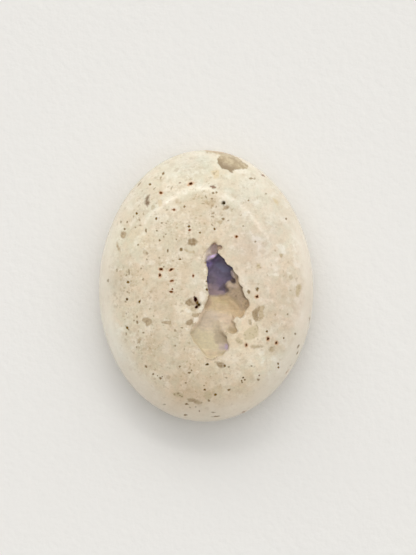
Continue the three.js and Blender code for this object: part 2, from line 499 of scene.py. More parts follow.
opalWindow = {
    "outline": [
        (212.3, 243.2), (214, 242.2), (215.8, 242.8), (216.8, 244.6), (218.2, 245.4), (220, 245),
        (221.8, 246), (222.8, 247.2), (222, 248.5), (220.5, 249.4), (218.8, 249.6), (218.5, 250.4),
        (218.3, 251.6), (218.5, 252.9), (219.8, 254.3), (220.9, 256.2), (222.5, 257.7), (224.3, 258.7),
        (224.6, 260.4), (225.4, 262), (226.6, 263.2), (228.3, 264.7), (230.2, 265.9), (232.1, 266.6),
        (233.2, 268), (233.4, 270), (234.4, 271.7), (235.8, 273.3), (237.2, 274.8), (238.3, 276.2),
        (238.5, 278.6), (238.5, 280.2), (239, 282.2), (239.8, 284.2), (241, 285.5), (242.4, 286.2),
        (243, 287.6), (242.8, 289.5), (243.4, 291.5), (243.8, 293.5), (244.4, 295.3), (245.6, 297.2),
        (247, 298.3), (248.4, 300), (249, 302), (249.3, 305), (248.8, 307), (247.2, 308.8), (245.6, 310.5),
        (245, 312.5), (244, 315), (242.8, 316.8), (240.5, 317.6), (237, 317), (235.2, 317.7),
        (234.7, 319.3), (233.3, 320.7), (234, 321.5), (235.5, 324), (236.2, 327), (237.3, 329.4),
        (237.8, 331), (236.5, 332.5), (234.8, 333.5), (233, 334.4), (230.5, 333.7), (228, 333),
        (226, 331.9), (224.6, 332.4), (224.2, 333.6), (225.5, 334.6), (227, 335.8), (227.8, 337.4),
        (227.5, 339), (227.3, 340.6), (227.9, 342), (229, 343.5), (229.5, 345.2), (229, 347.2),
        (228.5, 349), (227.3, 351), (225.5, 351.8), (224.8, 353.5), (223.5, 355.2), (221.5, 356.2),
        (218.5, 355.9), (216.4, 357), (215, 358.2), (212.6, 359), (209.8, 358.9), (207, 357.9),
        (205.3, 356.3), (203.5, 354.4), (202, 352.4), (200.5, 350.5), (199, 348.5), (197.5, 346.5),
        (195, 344.3), (193.2, 342), (192.3, 340), (191.4, 337.6), (190.3, 335.3), (189.9, 333.2),
        (191.3, 330.4), (192, 328.4), (192.6, 326.6), (194, 325.2), (195.3, 323.8), (196.6, 322.4),
        (198, 320.6), (198.4, 319), (198.1, 317.2), (198.8, 315.4), (199.6, 313.9), (200.8, 312.8),
        (201.6, 310.9), (203, 309.4), (204.2, 308), (204.3, 305.4), (205.7, 303.2), (206.9, 301),
        (207.9, 299), (207.7, 297.2), (208.1, 295.6), (209.2, 294), (208.8, 292.4), (207.9, 290.9),
        (207.9, 289.2), (207.4, 287.6), (207.3, 286), (207.6, 283.8), (206.8, 282.2), (206.4, 280.7),
        (206.4, 278.8), (206.4, 277), (206.9, 275.2), (207.9, 273), (207.8, 270.6), (207.6, 268.2),
        (206.4, 266.6), (206.6, 264.4), (205.6, 262.7), (204.4, 262.3), (203.4, 260.8), (202.6, 259),
        (203, 256.8), (204.2, 254.4), (205.4, 252.2), (206.6, 250), (208, 248.2), (209.6, 246.6),
        (210.5, 244.9),
    ],
    "edgeCuts": 3,
    "rough": 0.075 * mm,             # how far the edge crumbles
    "roughScale": (6, 14),           # coarse and fine crumbling, in waves to a millimetre
    "fineShare": 0.6,
    "grow": 0.012 * mm,              # how far the opal reaches into the rock around it
    "sunk": 0.002 * mm,              # the softer opal is polished a hair lower
    "cutFrom": 0.5 * mm,             # the cutter's lower end
    "cutBeyond": 1 * mm,             # and how far it stands out over the dome
    "restDepth": 0.42 * mm,
    "leastDepth": 0.03 * mm,
    "edgeShare": 0.12,               # the depth at the very edge
    "rugged": 0.06,                  # how much deeper and shallower the floor is, here and there
    "relief": 0.03 * mm,             # and by how much more, in broad and in fine relief
    "reliefScale": (2.2, 7),
    "reliefShares": (0.6, 0.35),
    "floorStep": 0.055 * mm,
    "floorBeyond": 1 * mm,           # the floor is cut this much wider than the window
}

# Zones of the floor under the opal, painted in this order: depth under the polished face in mm, how
# softly the zone begins, in pixels, its colour, and its outline in the photograph
zones = {
    "lavender": (0.42, 4.5, (211, 195, 172), [(199, 313), (204, 309.5), (209, 311), (211, 316), (213, 321),
        (212, 327), (204, 329), (196, 328), (193.5, 325), (198, 320)]),
    "creamMiddle": (0.34, 3, (212, 196, 175), [(209, 309), (218, 309), (220, 316), (221, 321), (214, 322),
        (210, 318)]),
    "milk": (0.36, 4.5, (214, 202, 170), [(190, 330), (197, 328.5), (206, 331), (214, 333), (222, 338),
        (229, 346), (227, 352), (216, 359), (205, 358), (196, 346)]),
    "lobeLeft": (0.28, 3, (208, 195, 165), [(189.5, 331), (192, 327.5), (198, 329), (199, 338),
        (194, 342)]),
    "lobeBottom": (0.2, 3, (216, 197, 167), [(203, 350), (212, 350), (221, 351), (219, 356), (207, 357.5)]),
    "lobeEdge": (0.14, 1.8, (209, 194, 162), [(190, 336), (193, 335), (196.5, 343), (201, 349),
        (207, 355.6), (216, 355.6), (217, 359.5), (206, 360), (198, 351), (191, 341)]),
    "leftRim": (0.16, 1.6, (228, 210, 188), [(203.4, 308), (206, 310.5), (202, 315.5), (200.5, 322),
        (196.4, 327), (193, 331), (189.5, 331.5), (193.4, 325), (197.6, 319), (197.6, 315)]),
    "greyTop": (0.38, 2.6, (202, 188, 162), [(214, 322.5), (218, 324), (221, 330), (219, 333),
        (213.5, 331)]),
    "greyBrown": (0.42, 1.8, (195, 179, 152), [(214.6, 329.6), (221.4, 330.4), (225.4, 333), (228, 338),
        (227, 343), (221, 344.6), (215.6, 343.6), (213.6, 338)]),
    "lavenderLow": (0.34, 2.2, (204, 187, 176), [(219, 344), (227, 343.5), (228.5, 347), (226.5, 351.5),
        (222, 352.5), (218.5, 349)]),
    "lobeRight": (0.24, 1.8, (203, 187, 157), [(217.5, 350.6), (225, 350), (226.4, 353), (222, 356.8),
        (218, 355.8)]),
    "violetSpot": (0.34, 1.4, (201, 183, 204), [(225, 344), (228.2, 344), (229, 347), (227.5, 350),
        (225, 348.5)]),
    "darkLip": (0.24, 0.8, (177, 158, 133), [(224, 333.2), (225.6, 333.8), (228, 337.2), (227.8, 340.4),
        (230, 344.4), (229.4, 348.6), (228.2, 348.6), (228, 345), (226.4, 341), (226.6, 338)]),
    "paleMiddle": (0.28, 3, (220, 200, 175), [(217, 314), (224, 311.5), (232, 313), (233, 319),
        (230.5, 324), (224.5, 325), (220, 320)]),
    "tanPocket": (0.24, 2, (215, 200, 172), [(224.5, 325.5), (230, 325), (231, 330.5), (227, 332.5),
        (224.5, 330)]),
    "pocketBand": (0.26, 1, (207, 189, 156), [(233, 320.5), (234.6, 321), (236.4, 324.5), (237.4, 328),
        (235.4, 328), (234, 324)]),
    "pocket": (0.32, 1.8, (195, 175, 140), [(229.5, 327.6), (233, 327), (236.5, 327.2), (238.2, 330.5),
        (236, 333), (232.5, 334.5), (229.5, 332)]),
    "isthmus": (0.14, 2.6, (224, 208, 183), [(219, 320.5), (223.4, 320.5), (224.5, 326), (226.5, 332.5),
        (223.6, 332.6), (220.6, 331), (218.8, 326)]),
    "amber": (0.5, 3.5, (209, 189, 152), [(206, 296), (212, 295), (226, 294), (238, 298), (242, 306),
        (243, 316), (236, 317), (226, 313), (214, 311), (204, 308)]),
    "gold": (0.5, 2.5, (208, 188, 145), [(212, 298), (226, 298), (233, 301), (230, 305), (218, 303)]),
    "amberUpper": (0.45, 2, (197, 174, 136), [(218, 294), (228, 294.5), (232, 299), (226, 300.5),
        (219, 298.5)]),
    "peachGold": (0.5, 2.5, (210, 187, 151), [(218, 305.5), (230, 306), (238, 309), (240, 313), (232, 313),
        (222, 310)]),
    "amberPale": (0.4, 1.8, (216, 194, 160), [(215, 304.5), (220, 304), (221, 307.5), (216, 308.5)]),
    "amberLower": (0.4, 2.2, (198, 173, 136), [(229, 299.5), (234, 303), (240, 308.5), (240, 312),
        (234, 309), (228, 303)]),
    "amberLeft": (0.4, 2, (199, 175, 144), [(206, 297.5), (210, 297), (212, 303), (208, 308),
        (204.5, 308)]),
    "brownEdge": (0.26, 3, (183, 160, 132), [(226.6, 293), (229, 289.4), (236, 288), (243, 288), (247, 298),
        (250, 304), (246, 311), (240.5, 309), (237.5, 303), (232, 297.6)]),
    "brownDeep": (0.24, 2, (187, 163, 128), [(243.5, 299), (249.5, 301), (249.5, 306.5), (246.5, 309.5),
        (242, 306.5), (242, 302)]),
    "brownLow": (0.3, 2, (203, 179, 142), [(238, 311), (246, 310), (245, 315), (242, 317.5), (236, 317)]),
    "brownLight": (0.22, 2.6, (182, 160, 128), [(233.5, 284.5), (240.5, 284.6), (242.6, 288.5), (239, 292),
        (233, 291)]),
    "notch": (0.2, 1, (197, 172, 142), [(232.4, 314.6), (234.6, 315.4), (236.2, 317.4), (234.6, 320),
        (232.6, 320.6), (232.8, 317.5)]),
    "purple": (1, 0.8, (117, 102, 131), [(217.8, 252.2), (219.8, 254), (222.4, 256.6), (224.6, 259.4),
        (227, 262.6), (230.4, 264.8), (233.4, 267.4), (232.4, 269.4), (230.6, 270), (230.2, 272.6),
        (231.2, 275.6), (232.8, 278), (234.6, 278.6), (235.6, 280.6), (234.8, 282.6), (233.3, 283.6),
        (231.8, 283), (230.3, 281.3), (228.8, 280.8), (227, 281.8), (225.6, 283.8), (224.6, 285.3),
        (224.8, 286.8), (226.4, 288), (227.6, 289), (227.5, 291), (226, 292.6), (224, 293.2), (221, 293),
        (218, 293.8), (215.5, 294.2), (212.5, 294.2), (209.8, 293.4), (207, 293), (206, 286), (205.6, 281),
        (206, 277), (206.6, 272.8), (206.2, 268.3), (205.6, 264.4), (206.6, 261.6), (210.6, 259.8),
        (213.8, 259), (216, 257)]),
    "violetLeft": (0.8, 2, (142, 120, 179), [(206.5, 260.6), (211, 260), (213, 263.5), (211, 267),
        (206.5, 266.5)]),
    "slate": (1, 2.2, (117, 115, 148), [(216, 261), (221, 263.6), (226, 267.6), (231, 269.4), (229.5, 273),
        (224, 273), (219, 270), (214.5, 265.5)]),
    "shade": (1, 2, (102, 92, 119), [(212, 266.5), (217.5, 269), (222, 273.2), (228.6, 273.6), (231, 277.5),
        (226, 280), (219, 277.5), (213, 272.5)]),
    "mauve": (1, 3, (118, 105, 122), [(208, 276), (214, 273), (217, 280), (215, 287), (208.5, 284)]),
    "lowPurple": (0.9, 2.5, (141, 123, 134), [(208, 285), (215, 283), (219, 287), (224, 293.5), (215, 295),
        (208.4, 294)]),
    "lowEdge": (0.9, 1.6, (163, 142, 145), [(206.4, 284), (211.6, 284), (213, 289.5), (222, 291),
        (225.4, 291.6), (224, 294.6), (207, 295)]),
    "deepPurple": (1, 1.3, (97, 82, 96), [(223.4, 282.6), (226, 285.5), (226.4, 288), (222, 290.4),
        (217.6, 290.6), (220, 287.4)]),
    "lowTip": (0.9, 1.1, (146, 128, 122), [(224.6, 288), (227.8, 288), (228.2, 291), (225, 292.4)]),
    "topPurple": (1.05, 2, (126, 106, 152), [(210.6, 261.6), (213.4, 259), (216.6, 256.6), (219, 257.2),
        (219.6, 260.4), (215, 262.6)]),
    # painted shadow: the dark line where the pocket's upper right wall shades the floor
    "paintedWallShadow": (1, 0.9, (73, 48, 76), [(218.4, 253.6), (222.9, 257), (225, 260.4), (227.6, 263.2),
        (233.4, 267.4), (231.2, 268.4), (227.9, 266.6), (224, 262.8), (221.9, 258.9), (218.4, 256.2)]),
    "darkTip": (0.85, 1, (122, 99, 86), [(231, 278.5), (234.6, 279), (235.4, 281.5), (233.4, 284),
        (231.2, 282.4), (229.8, 280.6)]),
    "paleFleck": (0.3, 1, (182, 164, 168), [(230, 270.6), (231.8, 270), (233.4, 273), (234.2, 277.6),
        (232.8, 276.8), (231, 273.6)]),
    "tanStrip": (0.2, 1.2, (191, 168, 138), [(233.2, 268.4), (235, 270.8), (238.2, 274.4), (238.8, 279),
        (240.4, 285), (237, 286.5), (235.6, 282), (235.2, 277), (233.8, 272.4)]),
    "tanDark": (0.2, 1, (150, 126, 95), [(236, 275.6), (238.6, 275.4), (238.8, 279.4), (236, 279.8)]),
    "edgeShade": (0.2, 1.2, (158, 134, 105), [(240.4, 283.6), (243, 286), (244, 291.5), (246.4, 297.5),
        (243.6, 298), (241.2, 291), (239.4, 286)]),
    "underProng": (0.3, 1.2, (152, 132, 110), [(227.4, 289.4), (231.6, 289.8), (231, 293), (228, 293)]),
    "prong": (0.16, 1.8, (189, 168, 145), [(225.9, 284.4), (227.6, 282.2), (229.4, 282), (231, 283.4),
        (233.4, 284.2), (235.6, 284.6), (238.4, 286.6), (236.4, 288.4), (233.4, 289), (230.6, 288.6),
        (227.4, 288.2), (225.6, 286.6)]),
    "spurFade": (0.08, 2, (233, 219, 197), [(201.5, 260.5), (202.4, 254), (206, 249), (208.4, 247),
        (207.4, 255), (206.6, 260.5), (203.6, 262.5)]),
    "spurSide": (0.16, 1.8, (215, 198, 186), [(207.6, 248), (211, 245.5), (211.4, 254), (208, 255.5),
        (206.4, 252)]),
    "spur": (0.22, 1.6, (159, 137, 130), [(211.3, 244.5), (213, 243), (216.8, 244), (217.8, 249),
        (217.4, 253.6), (214, 254.6), (211, 254), (210.4, 249)]),
    "spurCap": (0.12, 0.9, (160, 127, 94), [(212, 241.8), (216, 241.8), (216.6, 244.2), (212.6, 244.4)]),
    "finger": (0.14, 0.9, (171, 145, 120), [(217.2, 245.4), (220, 244.6), (223.2, 247.2), (221, 249.9),
        (217.4, 249.8)]),
    # painted highlight: the bright violet glint off the opal's curved face inside the pocket, and its
    # dimmer left part
    "paintedGlintLeft": (0.3, 1.8, (190, 170, 196), [(206.5, 260.6), (207, 256.6), (209.8, 254.8), (211, 257.5),
        (208.8, 262)]),
    "paintedGlint": (0.3, 1.3, (224, 196, 246), [(210.2, 256.6), (212.4, 255), (216.4, 254.2), (215.4, 256.6),
        (213.4, 258.3), (211.2, 258.6)]),
    "dotA": (0.24, 0.9, (143, 123, 94), [(235, 295), (236.6, 294.8), (237, 297), (235.2, 297.2)]),
    "dotB": (0.2, 0.9, (153, 131, 99), [(244.6, 302.8), (246.4, 302.4), (246.8, 304.2), (245, 304.4)]),
}
windowEdge = {
    "hard": 1.0,                     # pixels over which the pocket reaches its depth
    "soft": 2.2,                     # the same in the milky lower lobe
    "softFrom": (298, 322),          # how far down the photograph the edge grows soft
    "hardSide": (238, 233),          # but it stays hard to the right of here
    "softAbove": (264, 256),         # it is soft beside the spur too, above and to the left of these
    "softBeside": (219, 211),
}


def softStep(value):
    value = np.clip(value, 0, 1)
    return value * value * (3 - 2 * value)


def between(values, ends):
    # 0 at the first end and 1 at the second
    return softStep((values - ends[0]) / (ends[1] - ends[0]))


def filmShare(pixels):
    # 0 at the window's edge, where the opal is a thin film, and 1 where it has its full depth
    w = windowEdge
    x, y = pixels[:, 0], pixels[:, 1]
    softness = between(y, w["softFrom"]) * between(x, w["hardSide"])
    softness += between(y, w["softAbove"]) * between(x, w["softBeside"])
    reach = w["hard"] + (w["soft"] - w["hard"]) * softness
    return softStep(-outlineDistance(pixels, opalWindow["outline"]) / reach)


def floorDepth(pixels, places):
    # depth of the pocket's floor under the polished face
    w = opalWindow
    depth = np.full(len(pixels), w["restDepth"])
    for deep, soft, colour, outline in zones.values():
        share = softStep(0.5 - outlineDistance(pixels, outline) / (2 * soft))
        depth += (deep * mm - depth) * share
    broad, fine = w["reliefScale"]
    rugged = np.array([noise.fractal(Vector(p) / mm * broad, 1.0, 2.0, 4) for p in places])
    rough = np.array([noise.noise(Vector(p) / mm * fine) for p in places])
    depth *= 1 + w["rugged"] * rugged
    broad, fine = w["reliefShares"]
    depth += w["relief"] * (broad * rugged + fine * rough)
    share = w["edgeShare"] + (1 - w["edgeShare"]) * filmShare(pixels)
    return np.maximum(depth * share, w["leastDepth"])


def drift(place, apart):
    # a level shift by noise, with its two parts read this far apart
    return Vector((noise.noise(place), noise.noise(place + Vector(apart)), 0))


def roughLoop(bm):
    # the window's outline on the dome, cut fine and crumbled
    w = opalWindow
    verts = [bm.verts.new(onStone(spot)) for spot in w["outline"]]
    loop = [bm.edges.new(pair) for pair in zip(verts, verts[1:] + verts[:1])]
    bmesh.ops.subdivide_edges(bm, edges=loop, cuts=w["edgeCuts"])
    coarse, fine = w["roughScale"]
    for v in bm.verts:
        shift = drift(v.co / mm * coarse, (9, 4, 2)) + drift(v.co / mm * fine, (5, 1, 7)) * w["fineShare"]
        v.co += shift * w["rough"]


def windowPrism():
    bm = bmesh.new()
    roughLoop(bm)
    face = bmesh.ops.contextual_create(bm, geom=bm.edges[:])["faces"]
    for v in bm.verts:
        v.co.z = opalWindow["cutFrom"]
    grown = bmesh.ops.extrude_face_region(bm, geom=face)["geom"]
    top = [g for g in grown if isinstance(g, bmesh.types.BMVert)]
    bmesh.ops.translate(bm, verts=top, vec=(0, 0, form["height"] + opalWindow["cutBeyond"]))
    bmesh.ops.triangulate(bm, faces=bm.faces)
    bmesh.ops.recalc_face_normals(bm, faces=bm.faces)
    return makePiece("windowPrism", bm)


def floorBlock():
    # a block over the window, with the pocket's floor as its underside
    w = opalWindow
    spots = np.array([onStone(spot) for spot in w["outline"]])
    low, high = Vector(spots.min(0)), Vector(spots.max(0))
    low.z = high.z = 0
    size = high - low + Vector((w["floorBeyond"], w["floorBeyond"], 0))
    bm = bmesh.new()
    bmesh.ops.create_grid(
        bm, x_segments=int(size.x / w["floorStep"]), y_segments=int(size.y / w["floorStep"]), size=0.5,
    )
    bmesh.ops.scale(bm, verts=bm.verts, vec=(size.x, size.y, 1))
    bmesh.ops.translate(bm, verts=bm.verts, vec=(low + high) / 2)
    ground = list(bm.verts)
    grown = bmesh.ops.extrude_face_region(bm, geom=list(bm.faces))["geom"]
    for v in grown:
        if isinstance(v, bmesh.types.BMVert):
            v.co.z = form["height"] + 2 * w["cutBeyond"]
    faces = np.array([(v.co.x, v.co.y, heightOver(v.co.x, v.co.y)) for v in ground])
    depth = floorDepth(pixelsOf(faces), faces)
    for v, place, deep in zip(ground, faces, depth):
        v.co.z = place[2] - deep
    bmesh.ops.recalc_face_normals(bm, faces=bm.faces)
    return makePiece("floorBlock", bm)


def combine(piece, other, operation):
    change = piece.modifiers.new("combine", "BOOLEAN")
    change.operation = operation
    change.solver = "MANIFOLD"
    change.object = other
    bpy.context.view_layer.update()
    made = bpy.data.meshes.new_from_object(piece.evaluated_get(bpy.context.evaluated_depsgraph_get()))
    piece.modifiers.clear()
    old = piece.data
    piece.data = made
    bpy.data.meshes.remove(old)
    made.name = piece.name


def copyPiece(piece, name):
    twin = bpy.data.objects.new(name, piece.data.copy())
    bpy.context.scene.collection.objects.link(twin)
    return twin


def dropPiece(piece):
    mesh = piece.data
    bpy.data.objects.remove(piece)
    bpy.data.meshes.remove(mesh)


def swell(mesh, amount):
    # moves every point outward along its normal
    points = getPoints(mesh)
    normals = np.empty(len(mesh.vertices) * 3)
    mesh.vertex_normals.foreach_get("vector", normals)
    setPoints(mesh, points + normals.reshape(-1, 3) * amount)


cutter = windowPrism()
block = floorBlock()
combine(cutter, block, "INTERSECT")
opal = copyPiece(stone, "opal")
combine(stone, cutter, "DIFFERENCE")
swell(cutter.data, opalWindow["grow"])
opal.data.transform(Matrix.Translation((0, 0, -opalWindow["sunk"])))
combine(opal, cutter, "INTERSECT")
dropPiece(cutter)
dropPiece(block)
print("window cut:", len(stone.data.polygons), "faces of rock,", len(opal.data.polygons), "of opal")


# Where the marks lie on the finished stone, for the materials

def giveField(mesh, name, values):
    field = mesh.attributes.new(name, "FLOAT", "POINT")
    field.data.foreach_set("value", np.asarray(values, dtype=np.float32))


# Soft changes of the rock's colour, partly its own tone and partly painted light and shade, such as the
# brighter left flank: x, y, reach in pixels, and how much brighter, warmer and greener it is there, in
# hundredths
toneAndPaintedLight = [
    (200, 378, 50, -3, 5, 0), (180, 397, 14, -8, 8, 0), (192, 388, 20, -3, 5, 0), (155, 350, 35, 3, 1, 0),
    (245, 385, 35, 3, 0, 0), (222, 372, 20, 4, 0, 0), (232, 400, 18, 5, 1, 0), (206, 356, 18, 10, -3, 0),
    (135, 312, 24, 3, 2, 0), (112, 328, 22, 12, -8, 0), (120, 352, 18, 8, -7, 0), (150, 368, 16, 7, 0, 0),
    (165, 392, 12, 5, 0, 0), (183, 308, 10, 10, 0, 0), (190, 320, 14, 4, 0, 0), (285, 288, 16, -3, 2, 0),
    (303, 300, 14, -3, 0, 0), (262, 362, 14, 22, -14, 0), (280, 355, 16, 5, -4, 0),
    (113, 285, 14, 0, -4, 0), (203, 275, 12, 3, -4, 0), (243, 280, 14, 2, -3, 0), (190, 416, 25, 1, 1, 0),
    (245, 408, 22, 2, 0, -1), (142, 386, 18, 5, 0, 0), (195, 175, 22, -6, -4, 2), (230, 190, 25, -4, -6, 1),
    (262, 188, 28, -2, -7, 0), (275, 235, 20, 0, -8, 0), (250, 245, 18, -1, -6, -3),
    (183, 245, 8, -5, 0, 0), (190, 210, 12, -2, 2, 0), (214, 208, 16, -7, 4, 0), (120, 285, 10, -6, 0, 0),
    (120, 262, 8, 4, -8, 0), (140, 240, 12, 7, -3, 1), (245, 310, 10, 8, 5, 0), (247, 335, 18, 9, 6, 1),
    (148, 198, 22, -4, -6, 1), (205, 158, 14, -4, -7, 0), (170, 165, 18, -2, -5, 1),
    (148, 282, 20, -1, 3, 0), (242, 210, 14, -6, 0, 0), (288, 256, 20, 12, -8, -1),
    (292, 316, 16, 10, -5, -2), (120, 240, 16, 1, -3, 2), (162, 346, 18, -12, 4, 1),
    (152, 300, 14, -10, 5, 0), (174, 308, 12, -6, 3, 0), (215, 386, 14, -9, 8, 1), (246, 394, 12, -6, 7, 1),
    (270, 280, 60, 0, 0, -2), (240, 350, 18, 6, 1, 0), (170, 165, 12, -3, 0, 0), (250, 375, 14, 6, 1, 0),
    (200, 222, 12, -5, 3, 0), (275, 218, 16, -5, 0, 0), (290, 240, 9, 7, -4, 0), (166, 258, 9, 6, -5, -1),
    (188, 160, 12, 0, -5, -2), (170, 400, 16, 0, 4, 0), (210, 398, 14, -3, 4, 0),
]


# Marks of the same kinds on the flank and base, which the photograph doesn't show: every third is
# on the base, and the others lie at these shares of the stone's height and of the way out
hiddenMarks = {
    "seed": 41,
    "count": 150,
    "heights": (0.15, 0.55),
    "shares": (0.93, 1.0),
    "sizes": (0.06, 0.17),           # in mm
    "stretch": (0.7, 1.3),
    "tones": (0.15, 0.8),
    "rustyUnder": 0.4,               # the darker of them are rusty
    "below": 1.9,                    # none shows above this many girdle heights
}


def farMarks(points):
    h = hiddenMarks
    chance = random.Random(h["seed"])
    reach = np.full(len(points), farReach)
    tone = np.ones(len(points))
    for i in range(h["count"]):
        angle = chance.uniform(0, math.tau)
        if i % 3:
            height = chance.uniform(*h["heights"]) * form["height"]
            share = chance.uniform(*h["shares"])
        else:
            height = 0.0
            share = form["baseShare"] * math.sqrt(chance.random())
        x, y = planOf(share * math.cos(angle), share * math.sin(angle))
        size = chance.uniform(*h["sizes"]) * mm
        away = points - np.array((x, y, height))
        away[:, 2] *= chance.uniform(*h["stretch"])
        own = np.linalg.norm(away, axis=1) / size
        closer = own < reach
        reach[closer] = own[closer]
        tone[closer] = chance.uniform(*h["tones"])
    return reach, tone


# The marks seen from above close off down the steep flank, from this many girdle heights
flankFade = {"from": 1.6, "reachPerMm": 3.6, "pixelsPerMm": 7}


def stoneFields(mesh):
    points = getPoints(mesh)
    pixels = pixelsOf(points)
    girdle = form["girdleHeight"]
    seen = points[:, 2] > girdle
    low = np.clip(girdle * flankFade["from"] - points[:, 2], 0, None) / mm
    reach, tone, nearest = nearestMark(pixels, specks)
    reach = np.where(seen, reach + low * flankFade["reachPerMm"], farReach)
    hiddenReach, hiddenTone = farMarks(points)
    closer = (points[:, 2] < girdle * hiddenMarks["below"]) & (hiddenReach < reach)
    rusty = np.where(closer, hiddenTone < hiddenMarks["rustyUnder"], nearest < len(rustyMarks))
    giveField(mesh, "speck", np.where(closer, hiddenReach, reach))
    giveField(mesh, "speckTone", np.where(closer, hiddenTone, tone))
    giveField(mesh, "rusty", rusty)
    areas = {
        "filling": [outline for tone, outline in fillings],
        "crumb": crumbs,
        "patch": [tanPatch],
        "patchDark": [tanPatchDark],
        "rim": [opalWindow["outline"]],
    }
    for name, outlines in areas.items():
        distance, nearest = nearestOutline(pixels, outlines)
        giveField(mesh, name, np.where(seen, distance + low * flankFade["pixelsPerMm"], farPixels))
        if name == "filling":
            giveField(mesh, "fillingTone", np.array([tone for tone, outline in fillings])[nearest])
    sums = np.zeros((3, len(points)))
    tinted = softStep(2 * points[:, 2] / girdle - 1)     # the tints end below the girdle
    for x, y, size, *amounts in toneAndPaintedLight:
        far = np.hypot(pixels[:, 0] - x, pixels[:, 1] - y) / size
        sums += np.outer(amounts, tinted * np.exp(-far * far)) / 100
    for name, values in zip(("brighter", "warmer", "greener"), sums):
        giveField(mesh, name, values)
    giveField(mesh, "film", filmShare(pixels))
    for name, (deep, soft, colour, outline) in zones.items():
        giveField(mesh, name, nearestOutline(pixels, [outline])[0])


# The faces by what they show: the order in which the stone takes its materials
kindOf = {"rock": 0, "pocket": 1, "base": 2, "pit": 3}
kindRules = {
    "windowMargin": 3,               # pixels around the window within which a sunk face is pocket
    "sunk": 0.004 * mm,
    "baseUnder": 0.003 * mm,
    "pitReach": 0.9,                 # a face inside a mark that is darker than this tone is a pit
    "pitTone": 0.5,
}


def faceKinds(mesh):
    k = kindRules
    middles = np.empty(len(mesh.polygons) * 3)
    mesh.polygons.foreach_get("center", middles)
    middles = middles.reshape(-1, 3)
    pixels = pixelsOf(middles)
    above = middles[:, 2] > form["girdleHeight"]
    kinds = np.full(len(middles), kindOf["rock"], np.int32)
    inWindow = outlineDistance(pixels, opalWindow["outline"]) < k["windowMargin"]
    for i in np.flatnonzero(inWindow & above):
        x, y, z = middles[i]
        if z < heightOver(x, y) - k["sunk"]:
            kinds[i] = kindOf["pocket"]
    kinds[middles[:, 2] < k["baseUnder"]] = kindOf["base"]
    reach, tone, nearest = nearestMark(pixels, specks)
    pit = (kinds == kindOf["rock"]) & (reach < k["pitReach"]) & (tone < k["pitTone"]) & above
    kinds[pit] = kindOf["pit"]
    return kinds


pits = {"toneUnder": 0.75, "deep": 1.2}      # the darker a grain, the deeper: depth over radius


def sinkSpecks(mesh):
    # the darker grains sit in small pits
    points = getPoints(mesh)
    pixels = pixelsOf(points)
    seen = points[:, 2] > form["girdleHeight"]
    deep = np.zeros(len(points))
    for mark in specks:
        reach = ellipseReach(pixels, mark)
        radius = math.sqrt(mark[2] * mark[3]) / photo["pixelsPerMm"] * mm
        share = max(0.0, pits["toneUnder"] - mark[5]) * pits["deep"]
        deep = np.maximum(deep, np.clip(1 - reach ** 2, 0, 1) * share * radius)
    points[:, 2] -= np.where(seen, deep, 0)
    setPoints(mesh, points)


smoothUnder = math.radians(32)


def shadeByAngle(mesh):
    for face in mesh.polygons:
        face.use_smooth = True
    bm = bmesh.new()
    bm.from_mesh(mesh)
    for edge in bm.edges:
        edge.smooth = edge.calc_face_angle(0) < smoothUnder
    bm.to_mesh(mesh)
    bm.free()


stoneFields(stone.data)
kinds = faceKinds(stone.data)
sinkSpecks(stone.data)
shadeByAngle(stone.data)
shadeByAngle(opal.data)
print("marks placed")


# Materials

def paint(red, green, blue):
    # a screen colour, 0 to 255, as the linear colour that shaders take
    def linear(value):
        value /= 255
        return value / 12.92 if value <= 0.04045 else ((value + 0.055) / 1.055) ** 2.4
    return linear(red), linear(green), linear(blue), 1.0


def newMaterial(name):
    material = bpy.data.materials.new(name)
    material.use_nodes = True
    material.node_tree.nodes.clear()
    return material, material.node_tree


def node(tree, kind, inputs=None, **settings):
    made = tree.nodes.new(kind)
    for key, value in settings.items():
        setattr(made, key, value)
    for key, value in (inputs or {}).items():
        if isinstance(value, bpy.types.NodeSocket):
            tree.links.new(value, made.inputs[key])
        else:
            made.inputs[key].default_value = value
    return made


def calc(tree, operation, a, b=0.0, c=0.0):
    return node(tree, "ShaderNodeMath", {0: a, 1: b, 2: c}, operation=operation).outputs[0]


def times(tree, a, b):
    return calc(tree, "MULTIPLY", a, b)


def reading(tree, name):
    return node(tree, "ShaderNodeAttribute", attribute_name=name, attribute_type="GEOMETRY").outputs["Fac"]


def fade(tree, value, start, end, low=0.0, high=1.0):
    # from low at start to high at end, with soft shoulders
    return node(
        tree, "ShaderNodeMapRange",
        {"Value": value, "From Min": start, "From Max": end, "To Min": low, "To Max": high},
        interpolation_type="SMOOTHSTEP",
    ).outputs[0]


def blend(tree, share, first, second, kind="MIX"):
    return node(
        tree, "ShaderNodeMix", {0: share, 6: first, 7: second}, data_type="RGBA", blend_type=kind,
    ).outputs[2]


def clouds(tree, place, scale, detail=3.0, roughness=0.55, output="Fac"):
    inputs = {"Vector": place, "Scale": scale, "Detail": detail, "Roughness": roughness}
    return node(tree, "ShaderNodeTexNoise", inputs).outputs[output]


def mapped(tree, place, scale, shift=(0, 0, 0), turn=0.0):
    inputs = {"Vector": place, "Scale": scale, "Location": shift, "Rotation": (0, 0, turn)}
    return node(tree, "ShaderNodeMapping", inputs).outputs[0]


def placeInMm(tree, shift=(0, 0, 0)):
    return mapped(tree, node(tree, "ShaderNodeTexCoord").outputs["Object"], (1 / mm,) * 3, shift)


def noiseAbout(tree, place, scale, detail, roughness):
    # noise around zero, which draws edges about
    return calc(tree, "SUBTRACT", clouds(tree, place, scale, detail, roughness), 0.5)


def uneven(tree, name, wobble, reach):
    # the distance that a field gives, drawn about
    return calc(tree, "MULTIPLY_ADD", wobble, reach, reading(tree, name))


def bumped(tree, height, strength, distance):
    inputs = {"Height": height, "Strength": strength, "Distance": distance}
    return node(tree, "ShaderNodeBump", inputs).outputs[0]


